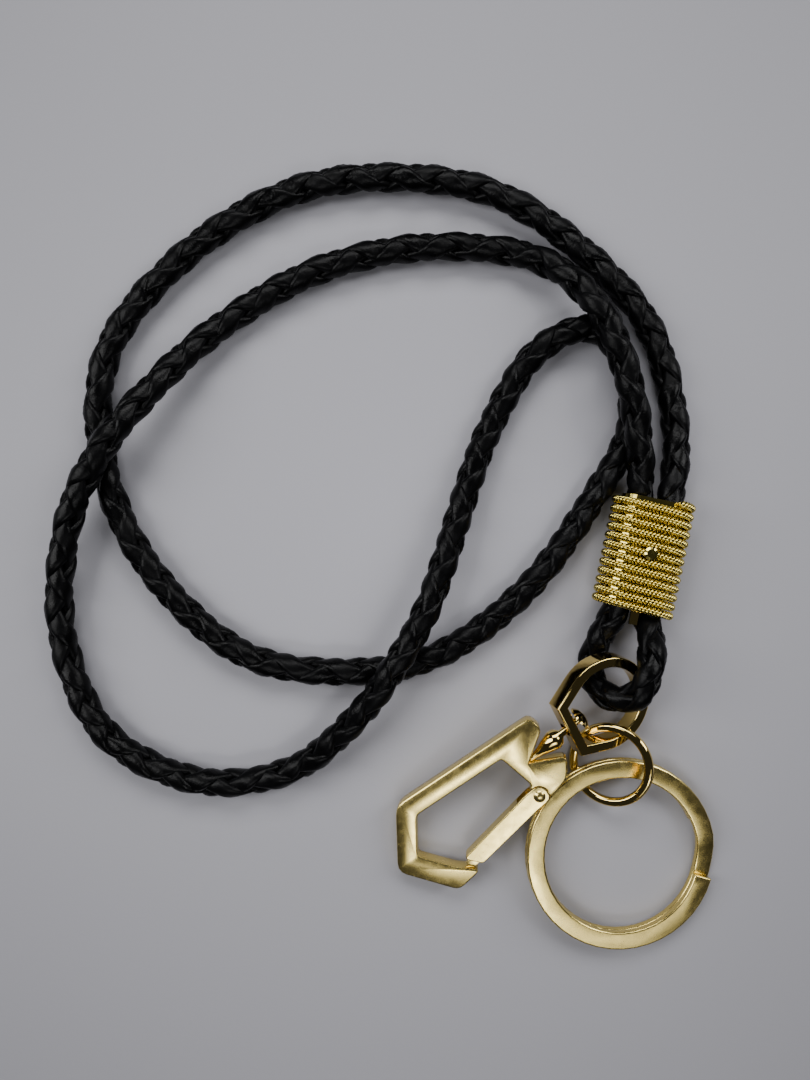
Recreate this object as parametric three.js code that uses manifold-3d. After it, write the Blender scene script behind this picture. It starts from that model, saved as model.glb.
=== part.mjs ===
// A neck lanyard laid out flat: a doubled loop of braided leather cord held by a rope-wire sleeve,
// with a swivel snap hook, a stirrup bail, a jump ring and a split key ring.
// Millimetres, +Z up. The origin is on the table, under the middle of the metal fittings.
import * as THREE from 'three';
import { mergeVertices } from 'three/addons/utils/BufferGeometryUtils.js';
import Module from 'manifold-3d';

const wasm = await Module();
wasm.setup();

// ---- driving dimensions ----
const CORD = { diameter: 5.8, sides: 10, steps: 78 };
const FIT = 0.3; // gap kept between pieces that touch
const RUN = 0.05; // radial running clearance of a pin in its hole
const TABLE = 0.05; // lowest point of a piece that rests on the table

const SLEEVE = {
  x: 17, y: 33.7, lean: 11.8, // place of its centre, and the lean of its axis to the right of +Y
  length: 23.6, cordPitch: 6.15, // distance between the two cords that it holds
  wall: 0.35, wire: 1.6, rowPitch: 1.8, wireGap: 0.1,
};
const PIN = { shank: 1.4, head: 2.6, dome: 0.5, turn: 6.2 }; // the pin that holds the tucked wire ends
const SPACER = { width: 1.6, thick: 0.5, out: 2.2, in: 6 };

const BAIL = {
  x: 0.9, y: -0.5, // place of the middle of the flat bar
  azimuth: 33, fall: 0.2, bank: 0.34, // heading of its axis, slope along the axis, slope across it
  lift: 0.9, // it lies on the leather loop, this far above the table
  radius: 9.7, reach: 9.6, halfBar: 6.1, band: 2.1, depth: 3.7, bevel: 0.4, hole: 1.4,
};
const LOOP_CREST = 9.9; // height of the leather loop's centre where it rides over the bail

const HOOK = {
  azimuth: 42.2, thick: 3.3, bevel: 0.35, tipHeight: 0.1,
  length: 41.3, halfWidth: 10.6, notch: 6.8, arm: 3.6,
};
const STUD = {
  standOff: 4.1, shank: 0.75, base: 2, head: 2.4, headAt: 2.4, // its head's distance past the middle of the bar
  tenon: 0.6, tenonLength: 2.4,
};
const GATE = {
  pin: [6.3, 32], pinRadius: 0.6, domeRadius: 1.2, dome: 0.45, thick: 3.2, bevel: 0.3,
  knuckle: 1.9, slot: 2.2, tongue: 0.9, tail: [7.9, 13.3], width: 3.3,
};
const SPRING = { wire: 0.3, radius: 1.2, turns: 2, pitch: 0.4, leg: 2.6 };

const JUMP = {
  x: 10.7, y: -8.3, outer: 17, wire: 1.9, cut: 0.2, cutAngle: -51,
  rise: 6.9, // its right side lies this far above its left side, over the bail and the key ring
};
const KEY = {
  outer: 38.4, band: 3.6, leaf: 1.4, leafGap: 0.1, bevel: 0.25, through: 1,
  besideGate: 0.2, // gap in plan between the ring and the gate's knuckle
  tiltX: -0.062, tiltY: 0.03, // slopes of its plane along +X and +Y
  upperEnd: -16, stepFrom: 16, stepTo: -11, lowerEnd: 24,
};

// ---- materials ----
const metal = (color, roughness) => new THREE.MeshStandardMaterial({ color, roughness, metalness: 1 });
const LEATHER = new THREE.MeshStandardMaterial({ color: 0x121214, roughness: 0.5, metalness: 0 });
const ROPE_GOLD = metal(0xc9a332, 0.3);
const POLISHED_GOLD = metal(0xb8893a, 0.12);
const SATIN_GOLD = metal(0xd8c68a, 0.35);
const STEEL = metal(0x9a9a9a, 0.4);

// ---- helpers ----
const rad = THREE.MathUtils.degToRad;
const lanyard = new THREE.Group();
const flat = (angle) => new THREE.Vector3(Math.cos(rad(angle)), Math.sin(rad(angle)), 0);

function add(parent, name, geometry, material) {
  const mesh = new THREE.Mesh(geometry, material);
  mesh.name = name;
  parent.add(mesh);
  return mesh;
}

// A group at a place, with its own X and Y along two directions at right angles.
function placed(parent, origin, alongX, alongY) {
  const group = new THREE.Group();
  const alongZ = new THREE.Vector3().crossVectors(alongX, alongY);
  group.quaternion.setFromRotationMatrix(new THREE.Matrix4().makeBasis(alongX, alongY, alongZ));
  group.position.copy(origin);
  parent.add(group);
  return group;
}

function solid(geometry) {
  const bare = geometry.index ? geometry.toNonIndexed() : geometry.clone();
  bare.deleteAttribute('normal');
  bare.deleteAttribute('uv');
  const merged = mergeVertices(bare, 1e-5);
  return new wasm.Manifold(new wasm.Mesh({
    numProp: 3,
    vertProperties: merged.attributes.position.array,
    triVerts: merged.index.array,
  }));
}

function geometryOf(body) {
  const mesh = body.getMesh();
  const geometry = new THREE.BufferGeometry();
  geometry.setAttribute('position', new THREE.BufferAttribute(mesh.vertProperties, 3));
  geometry.setIndex(new THREE.BufferAttribute(mesh.triVerts, 1));
  geometry.computeVertexNormals();
  return geometry;
}

// A straight-edged outline with each corner [x, y, size] rounded off.
function outline(corners) {
  const shape = new THREE.Shape();
  corners.forEach(([x, y, size], i) => {
    const corner = new THREE.Vector2(x, y);
    const before = new THREE.Vector2(...corners.at(i - 1).slice(0, 2));
    const after = new THREE.Vector2(...corners[(i + 1) % corners.length].slice(0, 2));
    const from = corner.clone().add(before.sub(corner).setLength(size));
    const to = corner.clone().add(after.sub(corner).setLength(size));
    if (i === 0) shape.moveTo(from.x, from.y);
    else shape.lineTo(from.x, from.y);
    shape.quadraticCurveTo(corner.x, corner.y, to.x, to.y);
  });
  return shape;
}

// A plate of a given thickness, centred on Z. Its bevelled edges reach out past the outline of its faces.
function plate(shape, thick, bevel, curveSegments = 3) {
  const geometry = new THREE.ExtrudeGeometry(shape, {
    depth: thick - 2 * bevel, bevelEnabled: true, bevelThickness: bevel, bevelSize: bevel,
    bevelSegments: 2, curveSegments,
  });
  return geometry.translate(0, 0, bevel - thick / 2);
}

// A round-ended section swept along a curve.
function swept(curve, section, steps) {
  return new THREE.ExtrudeGeometry(section, { steps, extrudePath: curve, curveSegments: 1 });
}

function ngon(radius, sides) {
  const points = [];
  for (let i = 0; i < sides; i++) {
    points.push(new THREE.Vector2(radius, 0).rotateAround(new THREE.Vector2(), 2 * Math.PI * (i + 0.5) / sides));
  }
  return new THREE.Shape(points);
}

function cylinder(radius, from, to, x = 0, y = 0, sides = 20) {
  const geometry = new THREE.CylinderGeometry(radius, radius, to - from, sides);
  return geometry.rotateX(Math.PI / 2).translate(x, y, (from + to) / 2);
}

// A body turned about Y from [radius, height] points that begin and end on the axis.
function turned(profile, segments = 20) {
  return new THREE.LatheGeometry(profile.map(([r, y]) => new THREE.Vector2(r, y)), segments);
}

class PathCurve extends THREE.Curve {
  constructor(at) {
    super();
    this.at = at;
  }

  getPoint(t, target = new THREE.Vector3()) {
    return target.copy(this.at(t));
  }
}

// ---- sleeve: an oval liner wound with twisted rope wire ----
const linerInner = CORD.diameter / 2 + FIT / 2;
const sleeveHeight = linerInner + SLEEVE.wall + SLEEVE.wireGap + SLEEVE.wire + TABLE;
const sleeveAlong = flat(90 - SLEEVE.lean);
const sleeveAcross = flat(-SLEEVE.lean);
const sleeveCentre = new THREE.Vector3(SLEEVE.x, SLEEVE.y, sleeveHeight);
const sleeve = placed(lanyard, sleeveCentre, sleeveAcross, sleeveAlong);
const halfPitch = SLEEVE.cordPitch / 2;
const linerOuter = linerInner + SLEEVE.wall;
const wireRadius = linerOuter + SLEEVE.wireGap + SLEEVE.wire / 2;

// A place in the sleeve: side -1 or 1 for the two cords, and a distance along the sleeve.
function inSleeve(side, along) {
  const place = sleeveCentre.clone().addScaledVector(sleeveAcross, side * halfPitch);
  return place.addScaledVector(sleeveAlong, along);
}

function racetrack(radius) {
  const shape = new THREE.Path();
  shape.absarc(halfPitch, 0, radius, -Math.PI / 2, Math.PI / 2);
  shape.absarc(-halfPitch, 0, radius, Math.PI / 2, 1.5 * Math.PI);
  return shape;
}

// The point of the wire's oval path after a number of turns from the middle of the front.
function racetrackPoint(turns, radius) {
  const straight = 2 * halfPitch;
  const bend = Math.PI * radius;
  const total = 2 * (straight + bend);
  let d = (((turns % 1) + 1) % 1) * total;
  if (d < straight / 2) return [d, radius];
  d -= straight / 2;
  if (d < bend) return [halfPitch + radius * Math.sin(d / radius), radius * Math.cos(d / radius)];
  d -= bend;
  if (d < straight) return [halfPitch - d, -radius];
  d -= straight;
  if (d < bend) return [-halfPitch - radius * Math.sin(d / radius), -radius * Math.cos(d / radius)];
  return [d - bend - straight / 2, radius];
}

function ropeWire(fromTurn, toTurn) {
  const top = SLEEVE.length / 2 - SLEEVE.wire / 2;
  const curve = new PathCurve((t) => {
    const turn = fromTurn + (toTurn - fromTurn) * t;
    const [x, z] = racetrackPoint(turn, wireRadius);
    return new THREE.Vector3(x, top - turn * SLEEVE.rowPitch, z);
  });
  return swept(curve, ngon(SLEEVE.wire / 2, 6), Math.ceil((toTurn - fromTurn) * 24));
}

function linerShell() {
  const bore = new THREE.Shape(racetrack(linerOuter).getPoints(8));
  bore.holes.push(new THREE.Path(racetrack(linerInner).getPoints(8)));
  const length = SLEEVE.length - SLEEVE.wire;
  const shell = new THREE.ExtrudeGeometry(bore, { depth: length, bevelEnabled: false, curveSegments: 1 });
  return shell.translate(0, 0, -length / 2).rotateX(Math.PI / 2);
}

const turnsInAll = (SLEEVE.length - SLEEVE.wire) / SLEEVE.rowPitch;
const around = 2 * (2 * halfPitch + Math.PI * wireRadius);
const tuckGap = (PIN.shank / 2 + FIT) / around; // turns left free each side of the pin
add(sleeve, 'sleeve_liner', linerShell(), ROPE_GOLD);
add(sleeve, 'rope_wire_upper', ropeWire(0.1, Math.floor(PIN.turn) - tuckGap), ROPE_GOLD);
add(sleeve, 'rope_wire_lower', ropeWire(Math.floor(PIN.turn) + tuckGap, turnsInAll), ROPE_GOLD);

const pinFoot = linerOuter + 0.1;
const pinCrest = wireRadius + SLEEVE.wire / 2 + 0.1;
const wirePin = turned([
  [0, pinFoot], [PIN.shank / 2, pinFoot], [PIN.shank / 2, pinCrest], [PIN.head / 2, pinCrest],
  [PIN.head / 2, pinCrest + PIN.dome * 0.4], [PIN.head / 3, pinCrest + PIN.dome * 0.85], [0, pinCrest + PIN.dome],
], 16);
wirePin.rotateX(Math.PI / 2);
const pinPlace = (SLEEVE.length - SLEEVE.wire) / 2 - Math.floor(PIN.turn) * SLEEVE.rowPitch;
add(sleeve, 'wire_pin', wirePin.translate(0, pinPlace, 0), POLISHED_GOLD);

// The spacer lies in the groove over the two cords and shows as a small tab below the sleeve.
const spacerTop = linerInner - 0.05;
const spacer = new THREE.BoxGeometry(SPACER.width, SPACER.in + SPACER.out, SPACER.thick);
spacer.translate(0, -SLEEVE.length / 2 + (SPACER.in - SPACER.out) / 2, spacerTop - SPACER.thick / 2);
add(sleeve, 'cord_spacer', spacer, POLISHED_GOLD);

// ---- leather cord ----
// The neck loop goes round twice. The route leaves the sleeve on the right and comes back on the left.
const NECK_ROUTE = [
  [24, 58, 3.7], [19, 79, 3], [4.5, 95.5, 3], [-13, 106.5, 3], [-33.5, 109.5, 3], [-53.5, 106.5, 3],
  [-75.5, 93, 3], [-90, 74.5, 3], [-91.5, 54.5, 3], [-82.5, 32, 3], [-62.5, 13.5, 3], [-41.5, 10, 3],
  [-23.5, 13.5, 3], [-6, 26.5, 3], [7.3, 44.5, 3], [15, 59.5, 3], [13.5, 73, 3], [7, 79, 3],
  [-3, 75, 3], [-13, 59.5, 3], [-26, 23, 7.8], [-32, 12.5, 9.1], [-39.5, 2, 7.4], [-53, -9.5, 3.6],
  [-71.5, -12, 3], [-90.5, -2.5, 3], [-99, 17.5, 3.6], [-96.5, 40.5, 6.6], [-89, 54.5, 9.1],
  [-80.5, 66, 6.8], [-68.5, 78.5, 3.4], [-48.5, 90.5, 3], [-25.5, 95.5, 3], [-3, 92.5, 3.6],
  [7.5, 81.5, 8.6], [14, 63.5, 9.2],
];
// The short loop under the sleeve goes through the bail: over the table at the left, over the bail at the right.
const BAIL_LOOP_ROUTE = [
  [9, 17.3, 3.7], [7.4, 12.3, 2.95], [7.5, 8.3, 3.4], [9.5, 5.8, 5], [12.3, 5.2, 7],
  [15.2, 6.9, 9.4], [16.9, 10.9, LOOP_CREST], [17.6, 14.9, 9], [17.9, 18.3, 7],
];
const cordSection = ngon(CORD.diameter / 2, CORD.sides);
const point = (place) => new THREE.Vector3(...place);

const neckCurve = new THREE.CatmullRomCurve3([
  inSleeve(1, FIT / 2), inSleeve(1, SLEEVE.length / 4), inSleeve(1, SLEEVE.length / 2), ...NECK_ROUTE.map(point),
  inSleeve(-1, SLEEVE.length / 2), inSleeve(-1, SLEEVE.length / 4), inSleeve(-1, FIT / 2),
], false, 'centripetal');
add(lanyard, 'neck_cord', swept(neckCurve, cordSection, CORD.steps), LEATHER);

const loopCurve = new THREE.CatmullRomCurve3([
  inSleeve(-1, -FIT / 2), inSleeve(-1, -SLEEVE.length / 4), inSleeve(-1, -SLEEVE.length / 2), ...BAIL_LOOP_ROUTE.map(point),
  inSleeve(1, -SLEEVE.length / 2), inSleeve(1, -SLEEVE.length / 4), inSleeve(1, -FIT / 2),
], false, 'centripetal');
add(lanyard, 'bail_loop', swept(loopCurve, cordSection, 30), LEATHER);

// ---- bail: a stirrup with a flat bar for the swivel and a round end in the leather ----
const level = Math.sqrt(1 - BAIL.fall ** 2 - BAIL.bank ** 2); // upward part of the bail's normal
const bailAlong = flat(BAIL.azimuth).multiplyScalar(Math.sqrt(1 - BAIL.fall ** 2)).setZ(-BAIL.fall);
const level2 = level / Math.sqrt(1 - BAIL.fall ** 2);
const bailAcross = flat(BAIL.azimuth + 90).multiplyScalar(level2);
bailAcross.addScaledVector(flat(BAIL.azimuth), BAIL.fall * BAIL.bank / Math.sqrt(1 - BAIL.fall ** 2));
bailAcross.z = BAIL.bank;
const bailDrop = BAIL.reach * BAIL.fall + BAIL.radius * Math.hypot(BAIL.fall, BAIL.bank);
const bailOrigin = new THREE.Vector3(BAIL.x, BAIL.y, bailDrop + BAIL.depth / 2 * level + BAIL.lift);
const bail = placed(lanyard, bailOrigin, bailAlong, bailAcross);

// The stirrup's outline, drawn in from its outer edge by an inset.
function stirrup(inset) {
  const far = Math.hypot(BAIL.reach, BAIL.halfBar);
  const lean = Math.atan2(BAIL.halfBar, -BAIL.reach) - Math.acos(BAIL.radius / far);
  const radius = BAIL.radius - inset;
  const corner = (radius - (inset - BAIL.reach) * Math.cos(lean)) / Math.sin(lean);
  const path = new THREE.Path();
  path.moveTo(inset, corner);
  path.lineTo(inset, -corner);
  path.absarc(BAIL.reach, 0, radius, -lean, lean);
  return path.getPoints(14);
}

function bailRing() {
  const shape = new THREE.Shape(stirrup(BAIL.bevel));
  shape.holes.push(new THREE.Path(stirrup(BAIL.band - BAIL.bevel)));
  const ring = solid(plate(shape, BAIL.depth, BAIL.bevel, 1));
  const hole = cylinder(BAIL.hole, -1, BAIL.band + 1).rotateY(Math.PI / 2);
  return geometryOf(ring.subtract(solid(hole)));
}

add(bail, 'bail', bailRing(), POLISHED_GOLD);

// ---- snap hook: frame, swivel stud, gate, gate pin and spring ----
// In the hook's own frame its tip is at the origin, Y runs up to the head and X points to the gate.
const studAtBar = HOOK.length + STUD.standOff;
const barMiddle = bailOrigin.clone().addScaledVector(bailAlong, BAIL.band / 2);
const tipHeight = HOOK.thick / 2 + HOOK.tipHeight;
const hookRise = Math.asin((barMiddle.z - tipHeight) / studAtBar);
const hookAlong = flat(HOOK.azimuth).multiplyScalar(Math.cos(hookRise)).setZ(Math.sin(hookRise));
const hookOrigin = barMiddle.clone().addScaledVector(hookAlong, -studAtBar);
const hook = placed(lanyard, hookOrigin, flat(HOOK.azimuth - 90), hookAlong);
const [pinX, pinY] = GATE.pin;
const w = HOOK.halfWidth - HOOK.bevel; // to the edge of the flat faces
const notchFoot = HOOK.length - HOOK.notch;
const knuckleClear = GATE.knuckle + FIT;

function hookFrame() {
  const b = HOOK.bevel;
  const head = HOOK.length - b;
  const inner = HOOK.arm - 2 * b; // width of the arm's flat face
  const shape = outline([
    [0, b, 1.6], [w, 7.2, 1.2], [w - 0.3, 12.6, 1], [6.8, 9.4, 0.9], [0, 4.8, 1], [-w + inner + 0.7, 10.6, 1],
    [-w + inner + 3, 31.6, 0.8], [pinX - 2.9, 32.6, 0.5], [pinX - 1.1, 31, 0.6], [pinX + 1, 30.7, 0.8],
    [pinX + 1.1, 35, 0.8], [6.6, 38.4, 1], [3.7, head, 1], [0, notchFoot - b, 0.8],
    [-3.7, head, 1], [-6.5, head - 0.3, 1.1], [-w + 0.2, 9, 1.8],
  ]);
  let body = solid(plate(shape, HOOK.thick, HOOK.bevel));
  // the knuckle's two cheeks turn in pockets each side of the thin tongue, and the spring sits on it
  const tongueTop = -GATE.slot / 2 + 0.1 + GATE.tongue;
  const tongueFoot = tongueTop - GATE.tongue;
  body = body.subtract(solid(cylinder(knuckleClear, tongueTop, HOOK.thick, pinX, pinY)));
  body = body.subtract(solid(cylinder(knuckleClear, -HOOK.thick, tongueFoot, pinX, pinY)));
  body = body.subtract(solid(cylinder(GATE.pinRadius + RUN, -HOOK.thick, HOOK.thick, pinX, pinY, 16)));
  // the bore that takes the stud's tenon
  const bore = cylinder(STUD.tenon + RUN, -STUD.tenonLength - FIT, 2.7, 0, 0, 16).rotateZ(Math.PI / 16);
  body = body.subtract(solid(bore.rotateX(-Math.PI / 2).translate(0, notchFoot, 0)));
  // the tongue on the nose that the gate closes over
  const nose = new THREE.BoxGeometry(1.6, 2.4, 1).translate(w - 1.9, 12.7, 0);
  return geometryOf(body.add(solid(nose)));
}

function gateBody() {
  const [tailX, tailY] = GATE.tail;
  const half = GATE.width / 2 - GATE.bevel;
  const knuckle = GATE.knuckle - GATE.bevel;
  const shape = outline([
    [pinX - knuckle, pinY + knuckle, knuckle - 0.05], [pinX - knuckle, pinY - 2, 0.6],
    [tailX - half, tailY - 0.8, 0.6], [tailX + half, tailY + 1.2, 0.6], [pinX + knuckle, pinY - 2, 0.6],
    [pinX + knuckle, pinY + knuckle, knuckle - 0.05],
  ]);
  let body = solid(plate(shape, GATE.thick, GATE.bevel));
  const slotLength = 2 * GATE.knuckle + 3;
  const slot = new THREE.BoxGeometry(8, slotLength, GATE.slot);
  body = body.subtract(solid(slot.translate(pinX, pinY + GATE.knuckle + 0.5 - slotLength / 2, 0)));
  body = body.subtract(solid(cylinder(GATE.pinRadius + RUN, -4, 4, pinX, pinY, 16)));
  const catchSlot = new THREE.BoxGeometry(2.8 + FIT, 3.4, 1 + 2 * FIT);
  return geometryOf(body.subtract(solid(catchSlot.translate(tailX + half - 0.4, tailY + 0.6, 0))));
}

function gatePin() {
  const face = GATE.thick / 2 + 0.05;
  const r = GATE.pinRadius;
  const R = GATE.domeRadius;
  return turned([
    [0, -face - GATE.dome], [R * 0.7, -face - GATE.dome * 0.7], [R, -face], [r, -face],
    [r, face], [R, face], [R * 0.7, face + GATE.dome * 0.7], [0, face + GATE.dome],
  ], 16).rotateX(Math.PI / 2).translate(pinX, pinY, 0);
}

// Two turns round the pin, with one leg that lies in the gate's slot.
function gateSpring() {
  const foot = -GATE.slot / 2 + 0.1 + GATE.tongue + 0.05 + SPRING.wire / 2;
  const points = [new THREE.Vector3(pinX - SPRING.radius, pinY - SPRING.leg, foot)];
  const parts = 12 * SPRING.turns;
  for (let i = 0; i <= parts; i++) {
    const angle = Math.PI - 2 * Math.PI * i / 12;
    const height = foot + SPRING.pitch * SPRING.turns * i / parts;
    points.push(new THREE.Vector3(
      pinX + SPRING.radius * Math.cos(angle), pinY + SPRING.radius * Math.sin(angle), height));
  }
  return swept(new THREE.CatmullRomCurve3(points), ngon(SPRING.wire / 2, 6), 40);
}

// The stud: a tenon in the hook, a long cone, a shank through the bail's bar and a domed head inside it.
function swivelStud() {
  const headAt = studAtBar + STUD.headAt;
  return turned([
    [0, notchFoot - STUD.tenonLength], [STUD.tenon, notchFoot - STUD.tenonLength], [STUD.tenon, notchFoot + 2],
    [STUD.tenon + 0.35, notchFoot + 3.4], [STUD.base * 0.8, notchFoot + 5.2], [STUD.base, studAtBar - 4],
    [STUD.base - 0.3, studAtBar - 2.9],
    [STUD.shank, studAtBar - 2.1], [STUD.shank, headAt], [STUD.head, headAt], [STUD.head, headAt + 0.4],
    [STUD.head * 0.6, headAt + 1.1], [0, headAt + 1.4],
  ], 20);
}

add(hook, 'hook_frame', hookFrame(), SATIN_GOLD);
add(hook, 'swivel_stud', swivelStud(), POLISHED_GOLD);
add(hook, 'gate', gateBody(), SATIN_GOLD);
add(hook, 'gate_pin', gatePin(), SATIN_GOLD);
add(hook, 'gate_spring', gateSpring(), STEEL);

// ---- rings ----
// The jump ring goes under the bail and the key ring at its left, and over both at its right.
const jumpRadius = (JUMP.outer - JUMP.wire) / 2;
const keyThick = 2 * KEY.leaf + KEY.leafGap;
const keyRadius = KEY.outer / 2 - KEY.band / 2;
const ringTilt = Math.asin(JUMP.rise / 2 / jumpRadius);

// The key ring hangs from the jump ring and leans on the gate's knuckle: a triangle with three known sides.
hook.updateMatrix();
const pinWorld = new THREE.Vector3(pinX, pinY, 0).applyMatrix4(hook.matrix);
const toKnuckle = new THREE.Vector2(pinWorld.x - JUMP.x, pinWorld.y - JUMP.y);
const toKeyRing = keyRadius + KEY.through;
const ringToPin = KEY.outer / 2 + GATE.knuckle + KEY.besideGate;
const corner = (toKnuckle.lengthSq() + toKeyRing ** 2 - ringToPin ** 2) / (2 * toKnuckle.length() * toKeyRing);
const heading = THREE.MathUtils.radToDeg(toKnuckle.angle() + Math.acos(corner)) - 360;
const ringHeading = flat(heading);
const jumpAcross = flat(heading + 90).multiplyScalar(Math.cos(ringTilt)).setZ(Math.sin(ringTilt));
const jumpHeight = jumpRadius * Math.sin(ringTilt) + JUMP.wire / 2 + TABLE;
const jumpOrigin = new THREE.Vector3(JUMP.x, JUMP.y, jumpHeight);
const jumpGroup = placed(lanyard, jumpOrigin, jumpAcross, ringHeading.clone().negate());
const cutHalf = JUMP.cut / jumpRadius / 2;
const jumpCurve = new PathCurve((t) => {
  const angle = rad(JUMP.cutAngle) + cutHalf + (2 * Math.PI - 2 * cutHalf) * t;
  return new THREE.Vector3(jumpRadius * Math.cos(angle), jumpRadius * Math.sin(angle), 0);
});
add(jumpGroup, 'jump_ring', swept(jumpCurve, ngon(JUMP.wire / 2, 10), 48), POLISHED_GOLD);

const keyAcross = new THREE.Vector3(1, 0, KEY.tiltX).normalize();
const keyNormal = new THREE.Vector3(-KEY.tiltX, -KEY.tiltY, 1).normalize();
const keyUp = new THREE.Vector3().crossVectors(keyNormal, keyAcross);
const keyLift = KEY.outer / 2 * Math.hypot(KEY.tiltX, KEY.tiltY) + keyThick / 2;
const keyOrigin = jumpOrigin.clone().addScaledVector(ringHeading, keyRadius + KEY.through).setZ(keyLift + 2 * TABLE);
const keyGroup = placed(lanyard, keyOrigin, keyAcross, keyUp);

// One flat strip wound twice: the upper leaf, a step down and the lower leaf.
function splitRing() {
  const stations = [
    [KEY.upperEnd, 1], [KEY.stepFrom - 360, 1], [KEY.stepTo - 360, -1], [KEY.lowerEnd - 720, -1],
  ];
  const sweep = stations[0][0] - stations[3][0];
  const height = (KEY.leaf + KEY.leafGap) / 2;
  const curve = new PathCurve((t) => {
    const angle = stations[0][0] - sweep * t;
    const [, down, foot] = stations;
    const part = THREE.MathUtils.smoothstep(down[0] - angle, 0, down[0] - foot[0]);
    const at = flat(angle).multiplyScalar(keyRadius);
    return at.setZ(height * (1 - 2 * part));
  });
  const [a, b, c] = [KEY.leaf / 2, KEY.band / 2, KEY.bevel];
  const section = new THREE.Shape([
    [a, b - c], [a - c, b], [c - a, b], [-a, b - c], [-a, c - b], [c - a, -b], [a - c, -b], [a, c - b],
  ].map(([x, y]) => new THREE.Vector2(x, y)));
  return swept(curve, section, 84);
}

add(keyGroup, 'key_ring', splitRing(), SATIN_GOLD);

export default lanyard;
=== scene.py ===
"""The finished look of a braided leather neck lanyard with gold snap hook, bail and rings.

Laid out as an add-on. Every length is in metres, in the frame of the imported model."""

import math

import bpy
import numpy as np
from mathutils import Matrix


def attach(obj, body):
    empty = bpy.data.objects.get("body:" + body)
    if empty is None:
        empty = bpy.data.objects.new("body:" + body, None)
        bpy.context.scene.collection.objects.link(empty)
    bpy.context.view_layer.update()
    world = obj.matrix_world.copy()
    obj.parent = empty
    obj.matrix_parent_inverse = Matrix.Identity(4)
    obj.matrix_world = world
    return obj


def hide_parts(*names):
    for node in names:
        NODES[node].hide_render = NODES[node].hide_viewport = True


bl_info = {
    "name": "Braided lanyard",
    "version": (1, 0, 0),
    "blender": (4, 5, 0),
    "location": "View3D > Sidebar > Lanyard",
    "description": "Braided leather, rope-wire sleeve and gold fittings on the packed lanyard",
    "category": "Object",
}

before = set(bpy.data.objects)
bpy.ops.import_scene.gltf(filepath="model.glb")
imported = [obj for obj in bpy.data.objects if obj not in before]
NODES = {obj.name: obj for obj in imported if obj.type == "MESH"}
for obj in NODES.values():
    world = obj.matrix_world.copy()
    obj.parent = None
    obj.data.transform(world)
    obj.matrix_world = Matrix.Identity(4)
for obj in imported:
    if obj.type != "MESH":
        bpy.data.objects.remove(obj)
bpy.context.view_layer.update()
MM = 0.001

# The cords' routes in millimetres, the same as the solids follow.
NECK_ROUTE = [
    (24, 58, 3.7), (19, 79, 3), (4.5, 95.5, 3), (-13, 106.5, 3), (-33.5, 109.5, 3), (-53.5, 106.5, 3),
    (-75.5, 93, 3), (-90, 74.5, 3), (-91.5, 54.5, 3), (-82.5, 32, 3), (-62.5, 13.5, 3), (-41.5, 10, 3),
    (-23.5, 13.5, 3), (-6, 26.5, 3), (7.3, 44.5, 3), (15, 59.5, 3), (13.5, 73, 3), (7, 79, 3),
    (-3, 75, 3), (-13, 59.5, 3), (-26, 23, 7.8), (-32, 12.5, 9.1), (-39.5, 2, 7.4), (-53, -9.5, 3.6),
    (-71.5, -12, 3), (-90.5, -2.5, 3), (-99, 17.5, 3.6), (-96.5, 40.5, 6.6), (-89, 54.5, 9.1),
    (-80.5, 66, 6.8), (-68.5, 78.5, 3.4), (-48.5, 90.5, 3), (-25.5, 95.5, 3), (-3, 92.5, 3.6),
    (7.5, 81.5, 8.6), (14, 63.5, 9.2),
]
LOOP_ROUTE = [
    (9, 17.3, 3.7), (7.4, 12.3, 2.95), (7.5, 8.3, 3.4), (9.5, 5.8, 5), (12.3, 5.2, 7),
    (15.2, 6.9, 9.4), (16.9, 10.9, 9.9), (17.6, 14.9, 9), (17.9, 18.3, 7),
]
CORD_DIAMETER = 5.8 * MM
CORD_PITCH = 6.15 * MM  # between the two cords in the sleeve
CORD_GAP = 0.3 * MM
SLEEVE_CENTRE = np.array([17, 33.7, 5.15]) * MM
SLEEVE_LEAN = math.radians(11.8)
SLEEVE_LENGTH = 23.6 * MM
WIRE = 1.6 * MM
ROW_PITCH = 1.8 * MM
WIRE_PATH_RADIUS = 4.3 * MM  # from a cord's centre to the middle of the wire round it
TUCK_TURN = 6  # the upper wire ends and the lower one begins here
TUCK_GAP = 0.026  # turns left free each side of the pin
SLEEVE_ALONG = np.array([math.sin(SLEEVE_LEAN), math.cos(SLEEVE_LEAN), 0])
SLEEVE_ACROSS = np.array([math.cos(SLEEVE_LEAN), -math.sin(SLEEVE_LEAN), 0])
UP = np.array([0.0, 0, 1])
STRAND_RINGS = 14  # rings of vertices in one lay of the twisted wire
BRAID_STEP = 0.76 * MM
BRAID_SWING = 0.42 * MM  # how far a lace rises and dips where it crosses another
BRAID_SIDES = 14
BRAID_CORE = 2.4 * MM
# Name, place and size in metres, and power of each soft light round the table.
LIGHTS = (
    ("front_light", (0.03, -0.34, 0.50), (0.44, 0.26), 0.62),
    ("key_light", (0.0, -0.30, 0.48), (0.16, 0.07), 0.3),
    ("left_light", (-0.52, 0.10, 0.46), (0.25, 0.5), 2.9),
    ("back_light", (-0.05, 0.52, 0.46), (0.5, 0.25), 2.9),
    ("right_light", (0.48, 0.30, 0.42), (0.22, 0.45), 2.4),
)


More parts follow.
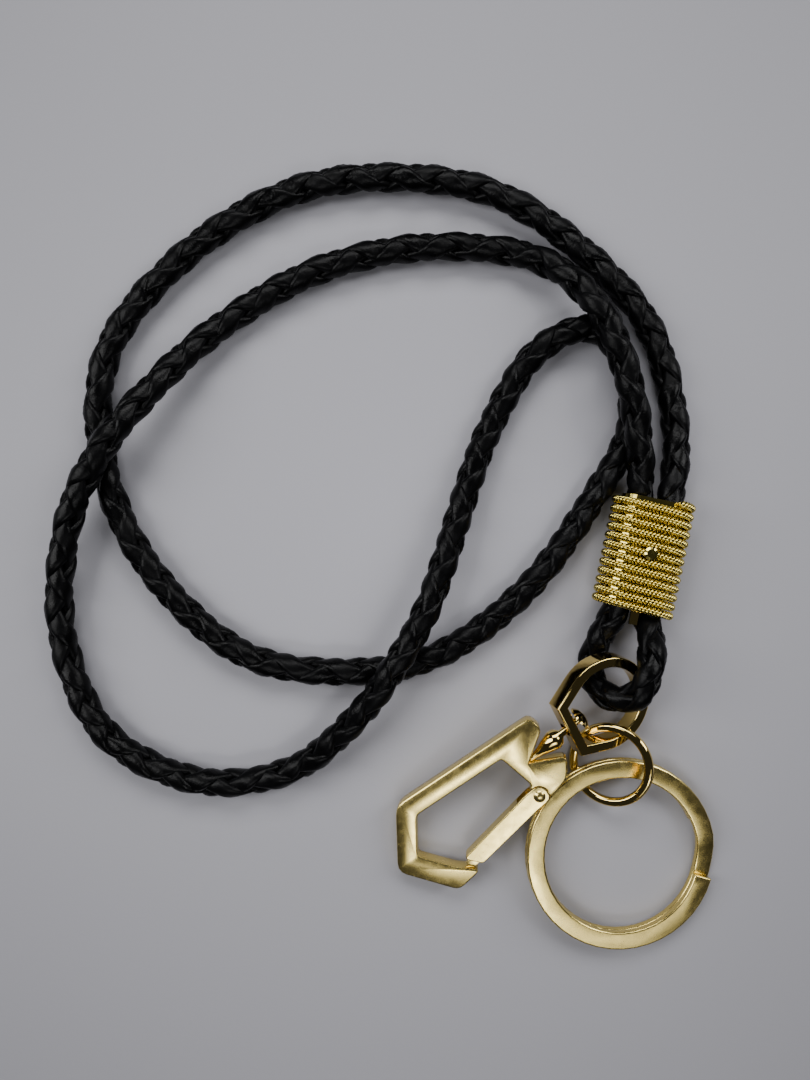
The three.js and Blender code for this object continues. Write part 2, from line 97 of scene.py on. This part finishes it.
class LanyardSizes(bpy.types.PropertyGroup):
    """Sizes that a maker of this lanyard would change."""

    braid_lay: bpy.props.FloatProperty(
        name="Braid lay", description="Cord length in which a strand goes once round",
        default=18.4 * MM, unit="LENGTH",
    )
    lace_width: bpy.props.FloatProperty(
        name="Lace width", description="Width of one leather lace", default=3.7 * MM, unit="LENGTH",
    )
    lace_thickness: bpy.props.FloatProperty(
        name="Lace thickness", description="Thickness of one leather lace",
        default=2.1 * MM, unit="LENGTH",
    )
    rope_lay: bpy.props.FloatProperty(
        name="Rope wire lay", description="Wire length in which its two strands twist once round",
        default=1.5 * MM, unit="LENGTH",
    )
    camera_height: bpy.props.FloatProperty(
        name="Camera height", description="Height of the camera over the table",
        default=0.17, unit="LENGTH",
    )


class LanyardColours(bpy.types.PropertyGroup):
    """Colours of the leather, the metals and the table."""

    leather: bpy.props.FloatVectorProperty(
        name="Leather", description="Dyed leather", default=(0.0014, 0.0014, 0.0016), subtype="COLOR",
    )
    rope_gold: bpy.props.FloatVectorProperty(
        name="Rope gold", description="Yellow gold of the wound wire",
        default=(0.74, 0.60, 0.15), subtype="COLOR",
    )
    polished_gold: bpy.props.FloatVectorProperty(
        name="Polished gold", description="Warm gold of the bail and the jump ring",
        default=(0.80, 0.60, 0.20), subtype="COLOR",
    )
    satin_gold: bpy.props.FloatVectorProperty(
        name="Satin gold", description="Pale gold of the hook and the key ring",
        default=(0.80, 0.63, 0.21), subtype="COLOR",
    )
    table: bpy.props.FloatVectorProperty(
        name="Table", description="Pale floor under the lanyard",
        default=(0.362, 0.358, 0.392), subtype="COLOR",
    )


def sizes():
    return bpy.context.scene.lanyard_sizes


def colours():
    return bpy.context.scene.lanyard_colours


# ---- routes ----
def smooth_route(points, step):
    """Points a step apart on a centripetal Catmull-Rom curve through the given ones."""
    p = np.array(points, float)
    p = np.vstack([2 * p[0] - p[1], p, 2 * p[-1] - p[-2]])
    fine = []
    for i in range(1, len(p) - 2):
        a, b, c, d = p[i - 1], p[i], p[i + 1], p[i + 2]
        before, between, after = (np.linalg.norm(v) ** 0.5 for v in (b - a, c - b, d - c))
        start = ((b - a) / before - (c - a) / (before + between) + (c - b) / between) * between
        end = ((c - b) / between - (d - b) / (between + after) + (d - c) / after) * between
        t = np.linspace(0, 1, 60, endpoint=False)[:, None]
        square = 3 * (c - b) - 2 * start - end
        cube = 2 * (b - c) + start + end
        fine.append(b + start * t + square * t**2 + cube * t**3)
    fine = np.vstack([*fine, p[-2:-1]])
    along = np.concatenate([[0], np.cumsum(np.linalg.norm(np.diff(fine, axis=0), axis=1))])
    count = int(round(along[-1] / step))
    at = np.linspace(0, along[-1], count + 1)
    return np.column_stack([np.interp(at, along, fine[:, k]) for k in range(3)]), at


def unit(vectors):
    return vectors / np.linalg.norm(vectors, axis=1)[:, None]


def in_sleeve(side, along):
    return SLEEVE_CENTRE + SLEEVE_ACROSS * side * CORD_PITCH / 2 + SLEEVE_ALONG * along


def neck_points():
    half = SLEEVE_LENGTH / 2
    out = [in_sleeve(1, CORD_GAP / 2), in_sleeve(1, half / 2), in_sleeve(1, half)]
    back = [in_sleeve(-1, half), in_sleeve(-1, half / 2), in_sleeve(-1, CORD_GAP / 2)]
    return out + [np.array(p) * MM for p in NECK_ROUTE] + back


def loop_points():
    half = SLEEVE_LENGTH / 2
    out = [in_sleeve(-1, -CORD_GAP / 2), in_sleeve(-1, -half / 2), in_sleeve(-1, -half)]
    back = [in_sleeve(1, -half), in_sleeve(1, -half / 2), in_sleeve(1, -CORD_GAP / 2)]
    return out + [np.array(p) * MM for p in LOOP_ROUTE] + back


# ---- tubes of any section ----
def tube(centres, across, up, section):
    """Vertices and faces of a closed tube: at each centre, the section's points on two directions."""
    count, sides = len(centres), len(section)
    wide, high = section[None, :, :1], section[None, :, 1:]
    ring = centres[:, None, :] + across[:, None, :] * wide + up[:, None, :] * high
    first = np.arange(count - 1)[:, None] * sides
    side = np.arange(sides)[None, :]
    after = (side + 1) % sides
    quads = np.stack([first + side, first + sides + side, first + sides + after, first + after], -1)
    faces = quads.reshape(-1, 4).tolist()
    faces.append(list(range(sides)))
    faces.append(list(range(count * sides - 1, (count - 1) * sides - 1, -1)))
    return ring.reshape(-1, 3), faces


def oval(width, thick, sides, square=1.0):
    turn = np.linspace(0, 2 * math.pi, sides, endpoint=False)
    x, y = np.cos(turn), np.sin(turn)
    return np.column_stack([
        width / 2 * np.sign(x) * np.abs(x) ** square, thick / 2 * np.sign(y) * np.abs(y) ** square,
    ])


def mesh_piece(name, tubes, material, lengths=None):
    """One object from several tubes, with a UV map: u along the tube, v round it."""
    vertices, faces = [], []
    total = 0
    for points, quads in tubes:
        vertices.append(points)
        faces += [[v + total for v in face] for face in quads]
        total += len(points)
    mesh = bpy.data.meshes.new(name)
    mesh.from_pydata(np.vstack(vertices).tolist(), [], faces)
    mesh.polygons.foreach_set("use_smooth", [True] * len(mesh.polygons))
    if lengths is not None:
        layer = mesh.uv_layers.new(name="lay")
        table = np.vstack(lengths)
        loops = np.empty(len(mesh.loops), int)
        mesh.loops.foreach_get("vertex_index", loops)
        layer.data.foreach_set("uv", table[loops].ravel())
    mesh.materials.append(material)
    piece = bpy.data.objects.new(name, mesh)
    bpy.context.scene.collection.objects.link(piece)
    return piece


# ---- materials ----
def new_material(name):
    material = bpy.data.materials.new(name)
    material.use_nodes = True
    return material, material.node_tree, material.node_tree.nodes["Principled BSDF"]


def add_node(tree, kind, **settings):
    node = tree.nodes.new(kind)
    for key, value in settings.items():
        if key in node.inputs:
            node.inputs[key].default_value = value
        else:
            setattr(node, key, value)
    return node


def noise(tree, source, scale, detail=3.0, stretch=None):
    """A noise texture on a coordinate output, with its place stretched if asked."""
    texture = add_node(tree, "ShaderNodeTexNoise", Scale=scale, Detail=detail)
    if stretch:
        mapping = add_node(tree, "ShaderNodeMapping", Scale=stretch)
        tree.links.new(source, mapping.inputs["Vector"])
        source = mapping.outputs["Vector"]
    tree.links.new(source, texture.inputs["Vector"])
    return texture.outputs["Fac"]


def spread(tree, value, low, high, low_in=0.3, high_in=0.7):
    """A value carried from one range to another."""
    node = tree.nodes.new("ShaderNodeMapRange")
    for name, number in (("From Min", low_in), ("From Max", high_in), ("To Min", low), ("To Max", high)):
        node.inputs[name].default_value = number
    tree.links.new(value, node.inputs["Value"])
    return node.outputs["Result"]


def bump(tree, height, distance, strength, under=None):
    node = add_node(tree, "ShaderNodeBump", Distance=distance, Strength=strength)
    tree.links.new(height, node.inputs["Height"])
    if under:
        tree.links.new(under, node.inputs["Normal"])
    return node.outputs["Normal"]


def tint(tree, value, dark, light):
    ramp = tree.nodes.new("ShaderNodeValToRGB")
    ramp.color_ramp.elements[0].color = (*dark, 1)
    ramp.color_ramp.elements[1].color = (*light, 1)
    tree.links.new(value, ramp.inputs["Fac"])
    return ramp.outputs["Color"]


def shade(colour, factor):
    return tuple(c * factor for c in colour)


def leather_material():
    """Dyed lace: fine grain, creases along the lace, and patches where the finish is rubbed."""
    material, tree, surface = new_material("black_leather")
    place = tree.nodes.new("ShaderNodeTexCoord").outputs["Object"]
    lay = add_node(tree, "ShaderNodeUVMap", uv_map="lay").outputs["UV"]
    base = tuple(colours().leather)
    patches = noise(tree, place, 260, 4)
    tree.links.new(tint(tree, patches, shade(base, 0.6), shade(base, 2.2)), surface.inputs["Base Color"])
    tree.links.new(spread(tree, patches, 0.2, 0.42), surface.inputs["Roughness"])
    grain = bump(tree, noise(tree, place, 2600, 4), 0.00009, 0.55)
    creases = bump(tree, noise(tree, lay, 1.0, 4, (700, 7, 1)), 0.00022, 0.55, grain)
    tree.links.new(creases, surface.inputs["Normal"])
    surface.inputs["Specular IOR Level"].default_value = 0.1
    return material


def metal_material(name, colour, roughness, grain, waver, patch):
    """Plated metal: a colour that varies a little, fine grain and a soft waver in its gloss."""
    material, tree, surface = new_material(name)
    place = tree.nodes.new("ShaderNodeTexCoord").outputs["Object"]
    surface.inputs["Metallic"].default_value = 1
    broad = noise(tree, place, 150, 3)
    tree.links.new(tint(tree, broad, shade(colour, patch), colour), surface.inputs["Base Color"])
    fine = noise(tree, place, 700, 3)
    tree.links.new(spread(tree, fine, roughness * 0.85, roughness * 1.2), surface.inputs["Roughness"])
    ripple = bump(tree, noise(tree, place, 260, 2), 0.0002, waver)
    tree.links.new(bump(tree, noise(tree, place, 1400, 2), 0.00003, grain, ripple), surface.inputs["Normal"])
    return material


def leather():
    return bpy.data.materials.get("black_leather") or leather_material()


# Roughness, depth of the fine grain, depth of the waver, and how dark the colour's patches are.
METALS = {
    "rope_gold": (0.13, 0.04, 0.02, 0.9),
    "polished_gold": (0.06, 0.0, 0.02, 0.9),
    "satin_gold": (0.24, 0.03, 0.02, 0.96),
}


def metal(name):
    made = bpy.data.materials.get(name + "_metal")
    return made or metal_material(name + "_metal", tuple(getattr(colours(), name)), *METALS[name])


def steel():
    return bpy.data.materials.get("spring_steel_wire") or metal_material(
        "spring_steel_wire", (0.5, 0.5, 0.5), 0.3, 0.1, 0.0, 0.9)


# ---- the two cords ----
def braid(name, points, material):
    """A round four-strand braid along a route: two laces wind one way and two the other, over and under."""
    centres, along = smooth_route(points, BRAID_STEP)
    forward = unit(np.gradient(centres, axis=0))
    side = unit(np.cross(forward, UP))
    up = np.cross(side, forward)
    lay, width, thick = sizes().braid_lay, sizes().lace_width, sizes().lace_thickness
    mean = CORD_DIAMETER / 2 - thick / 2 - BRAID_SWING
    drift = 0.16 * np.sin(along / 0.0093) + 0.10 * np.sin(along / 0.0041 + 1.3)
    turn = 2 * math.pi * along / lay + drift
    tubes, lays = [], []
    for strand in range(4):
        way = 1 if strand < 2 else -1
        angle = way * turn + math.pi * (strand % 2) + math.pi / 4
        radius = mean + way * BRAID_SWING * np.cos(2 * turn)
        out = np.cos(angle)[:, None] * side + np.sin(angle)[:, None] * up
        path = centres + radius[:, None] * out
        lead = unit(np.gradient(path, axis=0))
        across = unit(np.cross(lead, out))
        outward = np.cross(across, lead)
        uneven = 1 + 0.05 * np.sin(along / 0.0067 + 1.9 * strand)
        tubes.append(tube(path, across * uneven[:, None], outward, oval(width, thick, BRAID_SIDES, 0.82)))
        v = np.tile(np.arange(BRAID_SIDES) / BRAID_SIDES + 0.37 * strand, len(along))
        lays.append(np.column_stack([np.repeat(along, BRAID_SIDES), v]))
    core = tube(centres[::4], side[::4], up[::4], oval(BRAID_CORE, BRAID_CORE, 8))
    tubes.append(core)
    lays.append(np.zeros((len(core[0]), 2)))
    return mesh_piece(name, tubes, material, lays), centres, along[-1]


class LANYARD_OT_neck_cord(bpy.types.Operator):
    """Braid the long cord that goes twice round the neck loop"""

    bl_idname = "lanyard.neck_cord"
    bl_label = "Neck cord"

    def execute(self, context):
        piece, centres, length = braid("braided_neck_cord", neck_points(), leather())
        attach(piece, "sleeve")
        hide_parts("neck_cord")
        return {"FINISHED"}


class LANYARD_OT_bail_loop(bpy.types.Operator):
    """Braid the short leather loop that holds the bail"""

    bl_idname = "lanyard.bail_loop"
    bl_label = "Bail loop"

    def execute(self, context):
        piece, _, _ = braid("braided_bail_loop", loop_points(), leather())
        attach(piece, "sleeve")
        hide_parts("bail_loop")
        return {"FINISHED"}


# ---- the sleeve ----
def racetrack(turns):
    """Places and outward directions on the wire's oval path, in the sleeve's own X and Z."""
    half, radius = CORD_PITCH / 2, WIRE_PATH_RADIUS
    bend = math.pi * radius
    total = 2 * (2 * half + bend)
    d = (turns % 1.0) * total
    right = np.clip(d - half, 0, bend) / radius
    left = np.clip(d - 3 * half - bend, 0, bend) / radius
    turn = right + left
    x = np.where(d < half, d, np.where(d < half + bend, half + radius * np.sin(right), 0))
    x = np.where((d >= half + bend) & (d < 3 * half + bend), 2 * half + bend - d, x)
    x = np.where((d >= 3 * half + bend) & (d < 3 * half + 2 * bend), -half - radius * np.sin(left), x)
    x = np.where(d >= 3 * half + 2 * bend, d - total, x)
    z = radius * np.cos(turn)
    return x, z, np.sin(turn), np.cos(turn)


def twisted_wire(name, first, last):
    """Two strands twisted round a thin core and wound on the liner from one turn to another."""
    total = 2 * (CORD_PITCH + math.pi * WIRE_PATH_RADIUS)
    lay = sizes().rope_lay
    count = int((last - first) * total / lay * STRAND_RINGS)
    turns = np.linspace(first, last, count)
    x, z, outx, outz = racetrack(turns)
    y = SLEEVE_LENGTH / 2 - WIRE / 2 - turns * ROW_PITCH
    centres = SLEEVE_CENTRE + x[:, None] * SLEEVE_ACROSS + y[:, None] * SLEEVE_ALONG + z[:, None] * UP
    outward = outx[:, None] * SLEEVE_ACROSS + outz[:, None] * UP
    forward = unit(np.gradient(centres, axis=0))
    across = unit(np.cross(forward, outward))
    outward = np.cross(across, forward)
    twist = 2 * math.pi * turns * total / lay
    strand, offset = WIRE * 0.4, WIRE * 0.31
    tubes = []
    for start in (0, math.pi):
        lean = (np.cos(twist + start)[:, None] * across + np.sin(twist + start)[:, None] * outward)
        path = centres + lean * offset
        lead = unit(np.gradient(path, axis=0))
        wide = unit(np.cross(lead, lean))
        tubes.append(tube(path, wide, np.cross(wide, lead), oval(strand, strand, 7)))
    tubes.append(tube(centres[::5], across[::5], outward[::5], oval(WIRE * 0.55, WIRE * 0.55, 6)))
    return mesh_piece(name, tubes, metal("rope_gold"))


class LANYARD_OT_sleeve(bpy.types.Operator):
    """Wind the two runs of rope wire and finish the liner, the pin and the spacer"""

    bl_idname = "lanyard.sleeve"
    bl_label = "Sleeve"

    def execute(self, context):
        all_turns = (SLEEVE_LENGTH - WIRE) / ROW_PITCH
        runs = (("upper", 0.1, TUCK_TURN - TUCK_GAP), ("lower", TUCK_TURN + TUCK_GAP, all_turns))
        for run, first, last in runs:
            wire = twisted_wire("twisted_wire_" + run, first, last)
            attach(wire, "sleeve")
            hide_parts("rope_wire_" + run)
        dress("sleeve_liner", metal("rope_gold"))
        dress("wire_pin", metal("rope_gold"))
        dress("cord_spacer", metal("polished_gold"))
        return {"FINISHED"}


# ---- CAD pieces that keep their shape ----
def dress(node, material):
    """Give a CAD node its finish and leave its shape alone."""
    materials = NODES[node].data.materials
    materials.clear()
    materials.append(material)


def refined(node, name, material, body, round_edge=0.0, segments=2, smooth=35, pillow=False):
    """A cleaned copy of a CAD node, with rounded edges; a pillowed one shades as if its flats were domed."""
    bpy.ops.object.select_all(action="DESELECT")
    source = NODES[node]
    piece = source.copy()
    piece.data = source.data.copy()
    for key in list(piece.keys()):
        del piece[key]
    piece.name = name
    piece.data.name = name
    piece.parent = None
    bpy.context.scene.collection.objects.link(piece)
    piece.select_set(True)
    bpy.context.view_layer.objects.active = piece
    bpy.ops.object.mode_set(mode="EDIT")
    bpy.ops.mesh.select_all(action="SELECT")
    bpy.ops.mesh.remove_doubles(threshold=0.002 * MM)
    bpy.ops.mesh.dissolve_limited(angle_limit=math.radians(1.5))
    bpy.ops.object.mode_set(mode="OBJECT")
    if round_edge:
        bevel = piece.modifiers.new("rounded_edges", "BEVEL")
        bevel.width = round_edge
        bevel.segments = segments
        bevel.limit_method = "ANGLE"
        bevel.angle_limit = math.radians(28)
        bpy.ops.object.modifier_apply(modifier=bevel.name)
    bpy.ops.object.shade_smooth_by_angle(angle=math.radians(smooth))
    if not pillow:
        weighted = piece.modifiers.new("even_faces", "WEIGHTED_NORMAL")
        weighted.keep_sharp = True
        bpy.ops.object.modifier_apply(modifier=weighted.name)
    piece.data.materials.clear()
    piece.data.materials.append(material)
    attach(piece, body)
    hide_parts(node)
    return piece


class LANYARD_OT_bail(bpy.types.Operator):
    """Polish the stirrup bail"""

    bl_idname = "lanyard.bail"
    bl_label = "Bail"

    def execute(self, context):
        refined("bail", "polished_bail", metal("polished_gold"), "bail", 0.12 * MM, 2, 40)
        return {"FINISHED"}


class LANYARD_OT_snap_hook(bpy.types.Operator):
    """Finish the hook's frame, its swivel stud, the gate and the rivet"""

    bl_idname = "lanyard.snap_hook"
    bl_label = "Snap hook"

    def execute(self, context):
        satin = metal("satin_gold")
        refined("hook_frame", "satin_hook_frame", satin, "hook", 0.22 * MM, 3, 60, True)
        refined("gate", "satin_gate", satin, "gate", 0.4 * MM, 4, 50)
        refined("swivel_stud", "polished_stud", metal("polished_gold"), "hook", 0, 2, 50)
        refined("gate_pin", "gate_rivet", satin, "hook", 0, 2, 50)
        dress("gate_spring", steel())
        return {"FINISHED"}


class LANYARD_OT_rings(bpy.types.Operator):
    """Finish the jump ring and the split key ring"""

    bl_idname = "lanyard.rings"
    bl_label = "Rings"

    def execute(self, context):
        polished, satin = metal("polished_gold"), metal("satin_gold")
        refined("jump_ring", "polished_jump_ring", polished, "jump_ring", 0, 2, 50)
        refined("key_ring", "satin_key_ring", satin, "key_ring", 0.3 * MM, 3, 60, True)
        return {"FINISHED"}


# ---- camera, table and light ----
class LANYARD_OT_camera(bpy.types.Operator):
    """Look straight down on the middle of the lanyard"""

    bl_idname = "lanyard.camera"
    bl_label = "Camera"

    def execute(self, context):
        bpy.ops.object.select_all(action="DESELECT")
        bpy.ops.object.camera_add(location=(-30.3 * MM, 36.5 * MM, sizes().camera_height), rotation=(0, 0, 0))
        camera = bpy.context.object
        camera.name = "overhead_camera"
        camera.data.sensor_width = 36
        camera.data.lens = 27.65
        camera.data.clip_start = 0.005
        context.scene.camera = camera
        return {"FINISHED"}


def table_material():
    """Matt pale sheet with a faint speckle, and painted light: a painted vignette, brighter round the middle
    of the view and darker towards the edges.
    """
    material, tree, surface = new_material("pale_table")
    place = tree.nodes.new("ShaderNodeTexCoord").outputs["Object"]
    base = tuple(colours().table)
    # Painted light: a spherical gradient paints the table brighter round the middle of the view and darker
    # towards the edges, a painted pool of light.
    centred = add_node(tree, "ShaderNodeMapping", Location=(0.15, -0.18, 0), Scale=(5, 5, 5))
    tree.links.new(place, centred.inputs["Vector"])
    middle = add_node(tree, "ShaderNodeTexGradient", gradient_type="SPHERICAL")
    tree.links.new(centred.outputs["Vector"], middle.inputs["Vector"])
    painted_vignette = tint(tree, middle.outputs["Fac"], shade(base, 0.55), shade(base, 1.1))
    tree.links.new(painted_vignette, surface.inputs["Base Color"])
    surface.inputs["Roughness"].default_value = 0.6
    tree.links.new(bump(tree, noise(tree, place, 900, 3), 0.00005, 0.35), surface.inputs["Normal"])
    return material


def softbox(name, place, size, power, aim=(-0.03, 0.03, 0)):
    bpy.ops.object.light_add(type="AREA", location=place)
    light = bpy.context.object
    light.name = name
    light.data.shape = "RECTANGLE"
    light.data.size, light.data.size_y = size
    light.data.energy = power
    away = np.array(place) - np.array(aim)
    away = away / np.linalg.norm(away)
    light.rotation_euler = (math.acos(away[2]), 0, math.atan2(away[1], away[0]) + math.pi / 2)
    return light


class LANYARD_OT_stage(bpy.types.Operator):
    """Lay the table and hang the soft lights round it"""

    bl_idname = "lanyard.stage"
    bl_label = "Stage"

    def execute(self, context):
        bpy.ops.object.select_all(action="DESELECT")
        bpy.ops.mesh.primitive_plane_add(size=3, location=(0, 0, 0))
        table = bpy.context.object
        table.name = "table"
        table.data.materials.append(table_material())
        for light in LIGHTS:
            softbox(*light)
        world = bpy.data.worlds.new("room")
        context.scene.world = world
        world.use_nodes = True
        sky = world.node_tree.nodes["Background"]
        sky.inputs["Color"].default_value = (0.93, 0.94, 1, 1)
        sky.inputs["Strength"].default_value = 0.03
        return {"FINISHED"}


STEPS = (
    LANYARD_OT_camera, LANYARD_OT_neck_cord, LANYARD_OT_bail_loop, LANYARD_OT_sleeve,
    LANYARD_OT_bail, LANYARD_OT_snap_hook, LANYARD_OT_rings, LANYARD_OT_stage,
)


class LANYARD_PT_panel(bpy.types.Panel):
    """Sizes, colours and steps of the lanyard"""

    bl_label = "Lanyard"
    bl_idname = "LANYARD_PT_panel"
    bl_space_type = "VIEW_3D"
    bl_region_type = "UI"
    bl_category = "Lanyard"

    def draw(self, context):
        for group in (context.scene.lanyard_sizes, context.scene.lanyard_colours):
            box = self.layout.box()
            for name in group.bl_rna.properties.keys():
                if name not in ("rna_type", "name"):
                    box.prop(group, name)
        for step in STEPS:
            self.layout.operator(step.bl_idname)


CLASSES = (LanyardSizes, LanyardColours, *STEPS, LANYARD_PT_panel)


def register():
    for cls in CLASSES:
        bpy.utils.register_class(cls)
    bpy.types.Scene.lanyard_sizes = bpy.props.PointerProperty(type=LanyardSizes)
    bpy.types.Scene.lanyard_colours = bpy.props.PointerProperty(type=LanyardColours)


def unregister():
    del bpy.types.Scene.lanyard_colours
    del bpy.types.Scene.lanyard_sizes
    for cls in reversed(CLASSES):
        bpy.utils.unregister_class(cls)


def main():
    register()
    bpy.ops.lanyard.camera()
    bpy.ops.lanyard.neck_cord()
    bpy.ops.lanyard.bail_loop()
    bpy.ops.lanyard.sleeve()
    bpy.ops.lanyard.bail()
    bpy.ops.lanyard.snap_hook()
    bpy.ops.lanyard.rings()
    bpy.ops.lanyard.stage()


if __name__ == "__main__":
    main()
